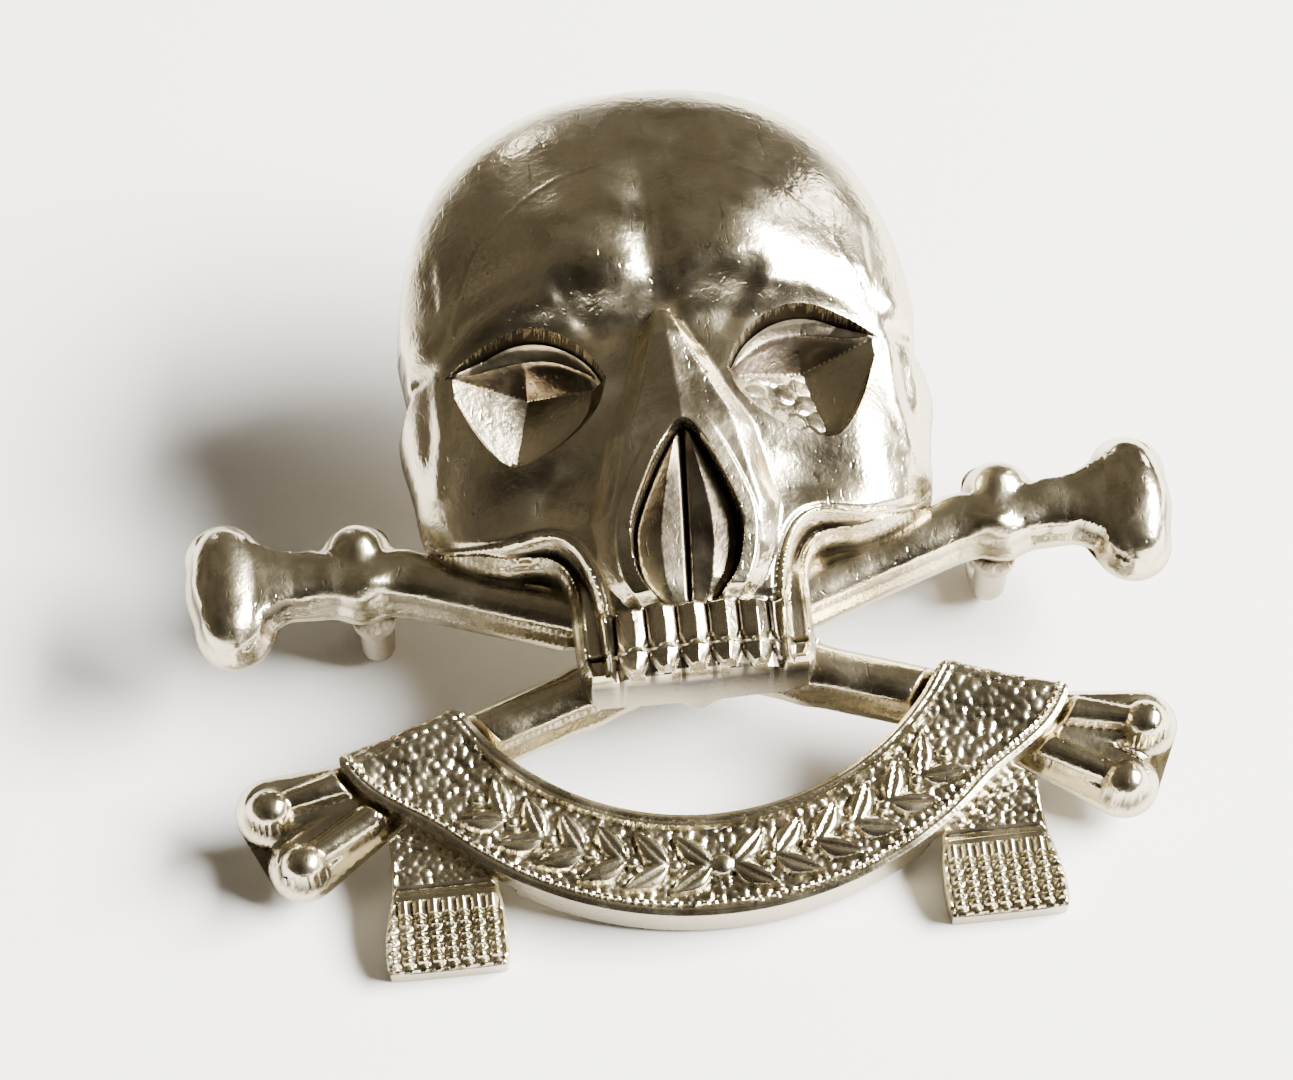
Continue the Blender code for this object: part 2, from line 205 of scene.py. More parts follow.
def facet(x, y, first, second, third):
    """Height of the flat facet through three (x, y, z) points."""
    ax, ay, az = (second[i] - first[i] for i in range(3))
    bx, by, bz = (third[i] - first[i] for i in range(3))
    turn = ax * by - ay * bx
    slope_x = (az * by - bz * ay) / turn
    slope_y = (bz * ax - az * bx) / turn
    return first[2] + slope_x * (x - first[0]) + slope_y * (y - first[1])


def scatter(cell_x, cell_y, salt):
    """A fixed number from 0 to 1 for each cell, with no pattern to the eye."""
    mixed = np.sin(cell_x * 127.1 + cell_y * 311.7 + salt * 74.7) * 43758.5453
    return mixed - np.floor(mixed)


def pebbles(x, y, size, height):
    """Ground covered with small close-set grains, as from a matting punch."""
    x, y = 0.84 * x + 0.54 * y, 0.84 * y - 0.54 * x
    cell_x = np.floor(x / size)
    cell_y = np.floor(y / size)
    grain = np.zeros(np.shape(x))
    for shift_x in (-1, 0, 1):
        for shift_y in (-1, 0, 1):
            at_x = cell_x + shift_x
            at_y = cell_y + shift_y
            off_x = x / size - at_x - 0.5 - 0.9 * (scatter(at_x, at_y, 1.0) - 0.5)
            off_y = y / size - at_y - 0.5 - 0.9 * (scatter(at_x, at_y, 2.0) - 0.5)
            tall = 0.6 + 0.4 * scatter(at_x, at_y, 3.0)
            dome = np.clip(1.0 - (off_x ** 2 + off_y ** 2) / 0.36, 0.0, None)
            grain = np.maximum(grain, tall * np.sqrt(dome))
    return grain * height


# ---- skull ----------------------------------------------------------------------------------

FACE_SIDE = rounded([(12.95, 29.8), (13.75, 28.2), (13.05, 24.9), (12.95, 22.8), (12.45, 21.2),
                     (10.6, 20.0), (8.8, 19.4), (7.4, 19.45), (6.5, 19.2), (5.95, 18.3),
                     (5.85, 17.0), (5.85, 13.6), (5.3, CHIN_Y + 0.1)])


def skull_outline():
    """Half the cranium as a squared-off oval, then cheekbone, cheek and jaw, then mirrored."""
    half = []
    for turn in range(0, 87, 3):
        across = math.sin(math.radians(turn)) ** 0.8 * CRANIUM_HALF_WIDTH
        up = math.cos(math.radians(turn)) ** 0.8 * (CROWN_Y - CRANIUM_MIDDLE_Y)
        half.append((across, CRANIUM_MIDDLE_Y + up))
    half += FACE_SIDE
    return half + [(0.0, CHIN_Y)] + [(-x, y) for x, y in reversed(half) if x > 0.0]


SKULL_OUTLINE = skull_outline()
# crest of the raised border of the face, from the temple round the cheek to the chin
FRONT_BORDER = rounded([(16.0, 30.0), (13.8, 24.5), (12.7, 21.9), (11.6, 20.95), (10.4, 20.5),
                        (8.9, 20.15), (7.6, 20.25), (6.5, 20.25), (5.55, 19.6), (4.95, 18.5),
                        (4.55, 17.2), (4.4, 15.8), (4.35, 14.0), (4.3, 11.0)])
FRONT_OUTLINE = ([(0.0, 60.0), (16.0, 60.0)] + FRONT_BORDER + [(0.0, 11.0)]
                 + [(-x, y) for x, y in reversed(FRONT_BORDER)] + [(-16.0, 60.0)])

BROW_ARC = rounded([(10.95, 29.8), (9.3, 30.6), (7.4, 31.15), (5.6, 30.85), (4.45, 30.15),
                    (3.6, 29.2), (3.0, 27.95)])
LID_EDGE = rounded([(10.95, 29.8), (9.6, 29.7), (8.4, 29.95), (7.0, 30.15), (5.6, 29.95),
                    (4.4, 29.25), (3.6, 28.6), (3.0, 27.95)])
PIT_LINE = [(10.95, 29.75), (6.9, 28.75), (3.0, 27.95)]
UNDER_EYE = rounded([(3.0, 27.95), (3.35, 26.6), (4.3, 25.45), (5.7, 24.55), (7.3, 24.05),
                     (7.95, 24.0), (8.6, 24.4), (9.35, 25.5), (10.0, 27.0), (10.95, 29.8)])
EYE_OUTLINE = BROW_ARC[:-1] + UNDER_EYE[:-1]
EYE_DEEPEST = (6.9, 28.75, 3.2)
EYE_OUTER = (10.95, 29.75, 4.85)
EYE_INNER = (3.0, 27.95, 5.35)
EYE_BOTTOM = (8.0, 24.3, 3.4)

NOSE_OUTLINE = rounded([(0.1, 25.3), (1.25, 23.4), (2.0, 21.8), (2.65, 20.2), (2.75, 18.8),
                        (2.4, 17.2), (1.4, 16.0), (0.0, 15.65), (-1.4, 16.0), (-2.4, 17.2),
                        (-2.75, 18.8), (-2.65, 20.2), (-2.0, 21.8), (-1.25, 23.4)], closed=True)
NOSE_LEVELS = [15.4, 16.2, 17.2, 18.5, 20.5, 24.5, 26.5, 29.0, 30.5, 31.1]
NOSE_FLAT = [1.5, 2.5, 3.2, 3.5, 3.6, 2.6, 1.75, 0.9, 0.45, 0.2]
NOSE_FOOT = [1.8, 3.0, 3.9, 4.4, 4.7, 3.7, 2.7, 1.7, 1.0, 0.45]


def skull_depth(x, y):
    return outline_depth(x, y, SKULL_OUTLINE)


def nose_lean(y):
    """How far the nose and teeth stand to one side of the middle."""
    return np.interp(y, [12.0, 16.0, 25.0, 31.0], [-0.2, -0.15, 0.4, 0.05])


def over_line(side, points):
    """Height of a line above each place, for a line that runs one way across."""
    points = sorted(points)
    return np.interp(side, [p[0] for p in points], [p[1] for p in points])


def cranium(x, y):
    """The dome, its two frontal bumps and what lies round the brow."""
    side = np.abs(x)
    across = (side / DOME_HALF_WIDTH) ** DOME_POWER
    up = (np.clip(y - DOME_MIDDLE_Y, 0.0, None) / DOME_UP) ** CROWN_POWER
    down = (np.clip(DOME_MIDDLE_Y - y, 0.0, None) / DOME_DOWN) ** DOME_POWER
    dome = SKULL_RISE * np.sqrt(np.clip(1.0 - across - up - down, 0.0, None))
    dome -= 1.6 * step(33.6, 29.6, y) * (1.0 - 0.55 * (side / 12.0) ** 2)
    dome += 0.95 * swell(np.hypot(x, 0.9) - 4.25, y - 35.0, 3.1, 3.1)
    dome -= 0.45 * np.exp(-(x / 1.1) ** 2) * step(41.5, 36.0, y) * step(27.5, 31.5, y)
    dome -= 0.45 * swell(side - 2.9, y - 31.0, 2.4, 1.0)
    dome -= 0.12 * ridge(line_distance(side, y, [(3.2, 30.0), (4.1, 31.4), (4.8, 32.6)]), 0.6)
    dome += 0.08 * ridge(line_distance(side, y, [(3.9, 30.1), (4.9, 31.4), (5.7, 32.5)]), 0.55)
    dome += 0.22 * ridge(line_distance(side, y, [(10.9, 30.6), (9.2, 31.5), (7.4, 32.0),
                                                 (5.5, 31.7)]), 0.6)
    dome += 0.035 * ridge(line_distance(side, y, HAIRLINE), 0.11)
    dome -= 0.7 * swell(side - 6.2, y - 22.3, 2.7, 1.7)
    dome += 0.35 * swell(side - 9.6, y - 24.6, 2.2, 2.0)
    # temple: a flat strip, a small knob, then the hollow of the cheekbone
    dome -= 0.12 * step(10.7, 11.1, side) * step(36.9, 35.2, y) * step(32.3, 33.6, y)
    dome += 0.3 * swell(side - 12.0, y - 31.6, 0.75, 0.6)
    dome -= 0.3 * swell(side - 12.3, y - 30.4, 0.7, 0.4)
    dome -= 0.22 * swell(side - 11.9, y - 27.2, 0.45, 1.5)
    dome += 0.15 * ridge(line_distance(side, y, [(11.3, 29.6), (11.5, 27.0), (11.9, 24.0)]), 0.4)
    return dome


HAIRLINE = rounded([(10.4, 31.7), (9.5, 34.2), (8.6, 36.0), (6.1, 38.0), (4.2, 39.0),
                    (2.1, 39.6), (0.0, 39.8)])


LIP = (0.13, 0.26, 0.39)   # how far under the brow the slit ends and the lip begins and ends


def eye_socket(side, y, face, rough_side):
    """The socket's pit: a lid under the brow, a fall to the pit line, then two facets.

    The facet by the nose is uneven on the rough side."""
    inside = outline_depth(side, y, EYE_OUTLINE) > 0.015
    brow_y = over_line(side, BROW_ARC)
    lid_y = over_line(side, LID_EDGE)
    pit_y = over_line(side, PIT_LINE)
    pit_z = np.interp(side, [3.0, 6.9, 10.95], [EYE_INNER[2], EYE_DEEPEST[2], EYE_OUTER[2]])
    lid_z = np.interp(side, [3.0, 4.4, 7.0, 9.6, 10.95], [5.5, 5.15, 4.72, 4.65, 4.85])

    # under the brow: a dark slit, the lid's steep lip, then its flatter face
    under = brow_y - y
    lid = lid_z + np.clip(face - 1.0 - lid_z, 0.0, 0.8) * ramp(lid_y, brow_y - LIP[0], y)
    lid += 0.05 * ramp(LIP[2], LIP[1], under) - 0.25 * ramp(LIP[1], LIP[0], under)
    lid += (face - lid) * ramp(LIP[0], 0.0, under)
    fall = np.clip((lid_y - y) / np.maximum(lid_y - pit_y, 0.02), 0.0, 1.0)
    wall = lid_z + (pit_z - lid_z) * fall
    outer = facet(side, y, EYE_DEEPEST, EYE_OUTER, EYE_BOTTOM)
    inner = facet(side, y, EYE_DEEPEST, EYE_BOTTOM, EYE_INNER)
    blotch = pebbles(side, y, 1.0, 0.1) * rough_side
    floor = np.maximum(outer, inner + blotch)
    pit = np.where(y > lid_y, lid, np.where(y > pit_y, wall, floor))
    pit += 0.06 * ridge(y - lid_y, 0.07)

    rim = line_distance(side, y, UNDER_EYE)
    steep = np.where(side < 8.0, 2.2, 3.4)
    pit = np.where(y < pit_y, np.maximum(pit, face - 0.1 - steep * rim), pit)
    return np.where(inside, np.minimum(pit, face), face)


def nose_ridge(x, y, face):
    """A ridge that widens downwards, with a gentle and a steep facet to each side."""
    across = np.abs(x - nose_lean(y))
    flat = np.interp(y, NOSE_LEVELS, NOSE_FLAT)
    foot = np.interp(y, NOSE_LEVELS, NOSE_FOOT)
    top = np.interp(y, [15.5, 17.0, 20.0, 25.0, 29.5, 30.8, 31.1],
                    [5.5, 5.9, 6.7, 7.55, 7.85, 7.6, 7.2])
    edge = top - 0.4 * ramp(0.0, 1.0, flat / 1.5)
    gentle = top + (edge - top) * ramp(0.0, 1.0, across / flat)
    steep = edge + (face - edge) * ramp(0.0, 1.0, (across - flat) / (foot - flat))
    nose = np.where(across < flat, gentle, steep)
    return np.where((across < foot) & (y < 31.1), np.maximum(face, nose), face)


OPENING_LEVELS = [15.7, 16.0, 16.4, 17.2, 18.8, 20.2, 21.8, 23.4, 25.2]
OPENING_HALF = [0.3, 1.4, 1.9, 2.4, 2.75, 2.6, 2.0, 1.2, 0.2]
RIB_SHARE = 0.47


def nose_opening(x, y, face):
    """A drop-shaped opening with a plain border, and two ribbed lobes inside it."""
    x = x - nose_lean(y)
    depth = outline_depth(x, y, NOSE_OUTLINE)
    half = np.interp(y, OPENING_LEVELS, OPENING_HALF)
    share = np.clip(np.abs(x) / half, 0.0, 1.0)
    rib = 0.34 * ramp(0.0, RIB_SHARE, share)
    outer = 0.34 - 0.3 * ramp(RIB_SHARE, 1.0, share)
    lobe = np.where(share < RIB_SHARE, rib, outer) * ramp(15.7, 17.2, y)
    inner = -0.95 + lobe - 0.5 * ridge(x, 0.1) - 0.35 * ridge(depth - 0.16, 0.1)
    border = (0.2 + 0.1 * depth) * step(-0.85, -0.68, depth) * step(0.04, -0.06, depth)
    border *= step(25.2, 22.5, y)
    return face + border + np.where(depth > 0.01, inner * step(0.0, 0.1, depth), 0.0)


def facetted(away, room):
    """A tooth's height: highest at its crest, sloping off evenly, then a short drop."""
    return 0.2 * step(0.0, 0.12, room - away) + 0.38 * ramp(1.0, 0.0, away / np.maximum(room, 0.05))


def teeth(x, y, face):
    """Two rows of faceted teeth, the lower ones pointed, and a line where they meet."""
    x = x - nose_lean(y)
    side = np.abs(x)
    bow = 5.35 - 0.75 * (side / 4.4) ** 2.4 - 0.5 * ramp(PARTING_Y + 0.3, CHIN_Y, y)
    middle = np.round(x / TOOTH_PITCH) * TOOTH_PITCH
    from_crest = x - middle - TOOTH_CREST
    room = TOOTH_PITCH / 2.0 - np.where(from_crest > 0.0, TOOTH_CREST, -TOOTH_CREST)
    upper = step(16.2, 15.85, y) * step(PARTING_Y, PARTING_Y + 0.1, y)
    lower = step(PARTING_Y - 0.05, PARTING_Y - 0.15, y) * step(CHIN_Y - 0.1, CHIN_Y + 0.1, y)
    wide_up = room * (1.0 - 0.25 * ramp(PARTING_Y + 0.6, PARTING_Y + 0.05, y))
    wide_down = room * (1.0 - 0.8 * ramp(13.5, 12.4, y))
    tooth_up = facetted(np.abs(from_crest), wide_up)
    tooth_down = facetted(np.abs(from_crest), wide_down)
    jaw = bow - 0.55 + tooth_up * upper + tooth_down * lower
    jaw += 0.38 * ridge(y - PARTING_Y + 0.03, 0.07)
    return face + (jaw - face) * step(16.6, 15.9, y)


def skull_front(x, y):
    side = np.abs(x)
    face = cranium(x, y)
    face = eye_socket(side, y, face, x > 0.0)
    face = nose_ridge(x, y, face)
    face = nose_opening(x, y, face)
    face = teeth(x, y, face)

    # the raised border of the face, and the lower border and side teeth outside it
    inside = outline_depth(x, y, FRONT_OUTLINE)
    below = step(24.5, 22.0, y)
    depth = np.clip(skull_depth(x, y), 0.0, None)
    outside = 3.6 + 0.35 * step(18.6, 17.4, y) + 0.3 * ridge(depth - 0.3, 0.15)
    outside -= 0.4 * ridge(y - PARTING_Y - 0.1, 0.1) * step(19.0, 17.0, y)
    over = step(-0.34, -0.08, inside)
    shaped = outside + (face - outside) * over
    shaped += 0.24 * ridge(inside - 0.06, 0.12) - 0.15 * ridge(inside - 0.36, 0.13)
    face = face + (shaped - face) * below

    # every edge rolls over to an upright rim
    low = step(23.6, 22.2, y)
    high_roll = SKULL_RIM + ROLL_RISE * half_round(depth / ROLL_WIDTH)
    high_roll += 1.3 * np.clip(depth - 1.0, 0.0, None)
    rim_low = CHEEK_RIM + (CHIN_RIM - CHEEK_RIM) * step(14.0, 12.9, y)
    low_roll = rim_low + 0.9 * half_round(depth / 0.2)
    low_roll += 6.0 * np.clip(depth - 0.2, 0.0, None)
    rolled = high_roll + (low_roll - high_roll) * low
    return np.maximum(soft_min(face, rolled, 0.15), SKULL_RIM)


def skull_shade(x, y):
    """Painted shade: darker under the brows, in the nose and between the teeth."""
    side = np.abs(x)
    brow_y = over_line(side, BROW_ARC)
    under = brow_y - y
    in_eye = outline_depth(side, y, EYE_OUTLINE) > 0.0
    lid_y = over_line(side, LID_EDGE)
    pit_y = over_line(side, PIT_LINE)
    # painted shade: darkest in the slit under the brow, dark on the lid and the socket's wall, light on
    # its floor
    eye = np.where(y > lid_y, 0.8, np.where(y > pit_y, 0.93, 0.1))
    eye = np.where(under < LIP[0] + 0.05, 1.0, eye) * in_eye
    across = x - nose_lean(y)
    in_nose = step(0.0, 0.15, outline_depth(across, y, NOSE_OUTLINE))
    nose = in_nose * (0.25 + 0.6 * step(16.4, 18.2, y)) + ridge(across, 0.12) * in_nose
    away = np.abs(across - np.round(across / TOOTH_PITCH) * TOOTH_PITCH - TOOTH_CREST)
    gap = ramp(0.42, 0.72, away) * step(16.3, 15.9, y) * (np.abs(across) < 4.4)
    parting = 0.7 * ridge(y - PARTING_Y - 0.12, 0.1) * (side < 5.8)
    return np.clip(np.maximum.reduce([eye, nose, 0.9 * gap, parting]), 0.0, 1.0)


def skull_back(x, y):
    """A flat rear rim, and a smooth hollow behind the face."""
    side = np.abs(x)
    across = (side / DOME_HALF_WIDTH) ** DOME_POWER
    up = (np.clip(y - DOME_MIDDLE_Y, 0.0, None) / DOME_UP) ** DOME_POWER
    down = (np.clip(DOME_MIDDLE_Y - y, 0.0, None) / DOME_DOWN) ** DOME_POWER
    hollow = SKULL_RISE * np.sqrt(np.clip(1.0 - across - up - down, 0.0, None)) - 1.0
    hollow -= 1.9 * step(33.5, 29.6, y) * (1.0 - 0.45 * (side / 12.0) ** 2)
    hollow -= 3.3 * swell(side - 7.2, y - 27.8, 3.8, 3.6)
    hollow -= 1.2 * swell(side - 6.0, y - 21.6, 3.0, 2.4)
    hollow -= 0.8 * step(22.0, 17.0, y)
    depth = np.clip(skull_depth(x, y), 0.0, None)
    low = np.clip(np.minimum(hollow, 3.2 * (depth - SKULL_RIM)), 0.0, None)
    return np.maximum(low, 0.9 * step(-1.4, -1.0, both_bones(x, y)))


# ---- bones ----------------------------------------------------------------------------------

BONE_BARS = [
    ((-14.0, 20.9, 1.75), (5.5, 13.75, 1.6)),        # shaft, upper half
    ((5.5, 13.75, 1.6), (16.5, 9.9, 1.6)),           # shaft, lower half
    ((-16.2, 22.5, 1.8), (-16.0, 20.6, 1.75)),       # collar
    ((-14.0, 20.9, 1.75), (-20.5, 21.3, 1.85)),      # neck
    ((-22.85, 23.1, 1.9), (-22.5, 19.0, 1.95)),      # trumpet end
    ((-21.6, 21.25, 2.5), (-22.1, 21.25, 2.7)),
    ((16.5, 9.9, 1.6), (21.25, 9.25, 1.8)),          # upper knuckle
    ((16.0, 9.0, 1.5), (19.9, 6.3, 1.75)),           # lower knuckle
]


def bone_depth(x, y):
    depth = np.full(np.shape(x), -1e9)
    for start, end in BONE_BARS:
        depth = soft_max(depth, bar_depth(x, y, start, end)[0], 0.35)
    return depth


def both_bones(x, y):
    return np.maximum(bone_depth(x, y), bone_depth(-x, y))


def bone_front(x, y):
    """A steep skirt, then a rounded body; the lower end forks into two arms with ball ends."""
    depth = bone_depth(x, y)
    skirt = 0.3 + (BONE_SKIRT - 0.3) * ramp(0.0, SKIRT_WIDTH, depth)
    inner = depth - SKIRT_WIDTH
    body = BONE_ROUND * half_round(inner / 1.3) + 0.25 * np.clip(inner - 1.3, 0.0, None)
    body += 0.32 * swell(x + 16.0, y - 22.55, 0.9, 0.8)
    body += 0.4 * swell(x + 15.5, y - 20.2, 0.85, 0.65)
    half = np.interp(x, BELL_X, BELL_HALF) - SKIRT_WIDTH
    rise = np.interp(x, BELL_X, BELL_RISE) * half_round((x + 24.75 - SKIRT_WIDTH) / 1.7)
    bell = rise * np.sqrt(np.clip(1.0 - ((y - np.interp(x, BELL_X, BELL_MIDDLE)) / half) ** 2, 0.0, None))
    bulb = 1.0 - ((x - BULB_X) / BULB_REACH_X) ** 2 - ((y - BULB_Y) / BULB_REACH_Y) ** 2
    bell = soft_max(bell, BULB_RISE * np.sqrt(np.clip(bulb, 0.0, None)), 0.5)
    bell = np.minimum(bell, 2.2 * half_round(inner / 1.2))
    body = body + (bell - body) * step(-17.3, -18.6, x)

    fork = 0.3 * half_round(inner / 0.4)
    for start, end in BONE_ARMS:
        arm, radius = bar_depth(x, y, start, end)
        fork = np.maximum(fork, 0.95 * half_round(arm / radius))
    for ball_x, ball_y in BONE_BALLS:
        away = np.hypot(x - ball_x, y - ball_y)
        fork = np.maximum(fork, BALL_RISE * half_round(1.0 - away / BALL_RADIUS))
    forked = step(13.0, 16.0, x)
    body = body + (fork - body) * forked
    top = skirt + np.where(inner > 0.0, body, 0.0)
    under = step(-0.5, 0.0, scroll_depth(x, y))
    return top * (1.0 - under) + np.minimum(top, UNDER_SCROLL) * under


def crossed_back(x, y):
    """Raised where it passes over the other bone, behind the jaw."""
    return 0.8 * step(-1.2, -0.8, bone_depth(-x, y)) * (np.abs(x) < 9.0)


def mirrored(function):
    return lambda x, y: function(-x, y)


def flat_back(x, y):
    return np.zeros(np.shape(x))


# ---- scroll ---------------------------------------------------------------------------------

def scroll_polar(x, y):
    radius = np.hypot(x, y - SCROLL_MIDDLE_Y)
    angle = np.degrees(np.arctan2(x, SCROLL_MIDDLE_Y - y))
    return radius, angle


def scroll_edges(x, y):
    """How far inside the long edges, and how far from the folded end."""
    radius, angle = scroll_polar(np.abs(x), y)
    outer = SCROLL_OUTER + SCROLL_END_FLARE * step(44.0, SCROLL_END_ANGLE, angle)
    slant = SCROLL_END_SLANT * (radius - SCROLL_INNER) / (SCROLL_OUTER - SCROLL_INNER)
    end = np.radians(SCROLL_END_ANGLE + slant - angle) * radius
    return np.minimum(radius - SCROLL_INNER, outer - radius), end


def scroll_depth(x, y):
    edge, end = scroll_edges(x, y)
    corner = SCROLL_CORNER - np.hypot(np.clip(SCROLL_CORNER - edge, 0.0, None),
                                      np.clip(SCROLL_CORNER - end, 0.0, None))
    return np.where((edge < SCROLL_CORNER) & (end < SCROLL_CORNER), corner, np.minimum(edge, end))


def leaf(along, across, length, width):
    """A pointed leaf with a sunken midrib, from its stalk at 0 out to its length."""
    share = np.clip(along / length, 0.0, 1.0)
    half = width * np.sin(math.pi * share ** 0.8) + 1e-6
    within = 1.0 - np.clip(np.abs(across) / half, 0.0, 1.0)
    body = np.sqrt(1.0 - (1.0 - within) ** 2) * (along > 0.0) * (along < length)
    return body * 0.42 - 0.16 * ridge(across, 0.1) * (body > 0.0)


def laurel(radius, angle):
    """Pairs of leaves and berries that run out both ways from the middle of the scroll."""
    middle = (SCROLL_INNER + SCROLL_OUTER) / 2.0 + 0.05
    along = np.radians(np.abs(angle)) * middle
    across = radius - middle
    raised = np.zeros(np.shape(radius))
    for stalk in np.arange(0.5, SPRAY_REACH, LEAF_STEP):
        for turn in (1.0, -1.0):
            lean = LEAF_LEAN * turn
            run = along - stalk
            leaf_along = run * math.cos(lean) + across * math.sin(lean)
            leaf_across = -run * math.sin(lean) + across * math.cos(lean)
            raised = np.maximum(raised, leaf(leaf_along, leaf_across, LEAF_LENGTH, LEAF_HALF_WIDTH))
        berry = np.hypot(along - stalk - 1.75, across)
        raised = np.maximum(raised, 0.4 * np.sqrt(np.clip(1.0 - (berry / 0.36) ** 2, 0.0, None)))
    stem = np.hypot(along, across)
    return np.maximum(raised, 0.5 * np.sqrt(np.clip(1.0 - (stem / 0.62) ** 2, 0.0, None)))


def scroll_back(x, y):
    passing = np.maximum(both_bones(x, y), tail_depth(np.abs(x), y))
    return 0.8 * step(-0.9, -0.6, passing)


def scroll_front(x, y):
    """Raised edges, beaded along the outer one, and laurel on a pebbled ground that rises
    and rolls over at the ends."""
    radius, angle = scroll_polar(x, y)
    depth, end = scroll_edges(x, y)
    to_end = step(3.6, 1.0, end)
    ground = SCROLL_TOP - SCROLL_SUNK * (1.0 - to_end)
    ground += pebbles(x, y, 0.42, 0.16) * (1.0 - 0.4 * to_end)
    raised = laurel(radius, angle)
    middle = np.where(raised > 0.02, SCROLL_TOP - 0.34 + raised, ground)
    edge = SCROLL_TOP - 0.16 * step(0.25, 0.0, depth) - 0.1 * ridge(depth - 0.42, 0.06)
    edge += 0.1 * step(2.5, 1.0, end)
    beads = 0.12 * np.abs(np.sin(np.radians(angle) * radius * math.pi / BEAD_PITCH)) ** 0.7
    edge += beads * step(0.42, 0.5, depth) * step(0.78, 0.7, depth) * (radius > 16.0)
    top = middle + (edge - middle) * step(0.74, 0.66, depth)
    return top - 0.8 * (1.0 - half_round(end / SCROLL_FOLD)) - 0.1 * ridge(end - 0.85, 0.08)


# ---- tails ----------------------------------------------------------------------------------

TAIL_OUTLINE = rounded([(10.6, 0.1), (10.8, 0.0), (16.1, 0.0), (16.3, 0.25), (16.35, 1.4),
                        (16.1, 2.9), (15.8, 3.9), (15.7, 6.0), (15.85, 7.6), (14.4, 8.3),
                        (11.4, 9.3), (10.8, 7.0), (10.75, 4.2), (10.5, 2.8), (10.45, 1.0)],
                       closed=True)


def tail_depth(x, y):
    """The tail on the right; it stops short of the bone that crosses it."""
    return np.minimum(outline_depth(x, y, TAIL_OUTLINE), -0.3 - bone_depth(x, y))


def tail_front(x, y):
    """Pebbled cloth with a double band, then a fringe of knotted cords."""
    depth = np.clip(tail_depth(x, y), 0.0, None)
    cloth = TAIL_TOP + pebbles(x, y, 0.4, 0.12) - 0.1
    band = TAIL_TOP + 0.12 - 0.2 * ridge(y - FRINGE_Y - 0.5, 0.1)
    column = np.abs(np.sin((x - 10.75) * math.pi / CORD_PITCH))
    knot = np.abs(np.sin((y - 0.35) * math.pi / KNOT_PITCH))
    knotted = step(3.0, 2.75, y)
    cord = column ** 0.75 * (1.0 - knotted + knotted * knot ** 0.75)
    fringe = FRINGE_TOP - CORD_RISE * (1.0 - cord)
    top = np.where(y > FRINGE_Y + 0.9, cloth, np.where(y > FRINGE_Y, band, fringe))
    edge = TAIL_TOP + 0.1 * step(FRINGE_Y + 0.4, FRINGE_Y, y)
    return edge + (top - edge) * step(0.12, 0.3, depth) - 0.15 * step(0.15, 0.0, depth)


# ---- solids ---------------------------------------------------------------------------------

RECESSES = ((0.25, 0.3, 0.9), (1.1, 1.3, 0.55))     # reach, depth for full painted shade, most painted shade
SKIRT_SHADE = 0.45         # painted shade on the backs and the foot of every edge
BORDER_SHADE = 0.35          # painted shade along the front's own border
BACK_PITCH = 0.4

def slide_to_edge(x, y, depth_of):
    """Move points onto the line where a depth is nothing, along the depth's own slope."""
    nudge = 0.02
    for _ in range(5):
        depth = depth_of(x, y)
        slope_x = (depth_of(x + nudge, y) - depth_of(x - nudge, y)) / (2.0 * nudge)
        slope_y = (depth_of(x, y + nudge) - depth_of(x, y - nudge)) / (2.0 * nudge)
        steep = np.maximum(slope_x ** 2 + slope_y ** 2, 0.25)
        x = x - depth * slope_x / steep
        y = y - depth * slope_y / steep
    return x, y


def slide_to_line(x, y, points):
    """Move points onto the nearest place of an open line."""
    nearest = np.full(np.shape(x), 1e9)
    best_x, best_y = x.copy(), y.copy()
    for (ax, ay), (bx, by) in zip(points, points[1:]):
        run_x, run_y = bx - ax, by - ay
        share = np.clip(((x - ax) * run_x + (y - ay) * run_y) / (run_x ** 2 + run_y ** 2), 0.0, 1.0)
        on_x, on_y = ax + share * run_x, ay + share * run_y
        away = np.hypot(x - on_x, y - on_y)
        closer = away < nearest
        nearest = np.where(closer, away, nearest)
        best_x = np.where(closer, on_x, best_x)
        best_y = np.where(closer, on_y, best_y)
    return best_x, best_y, nearest


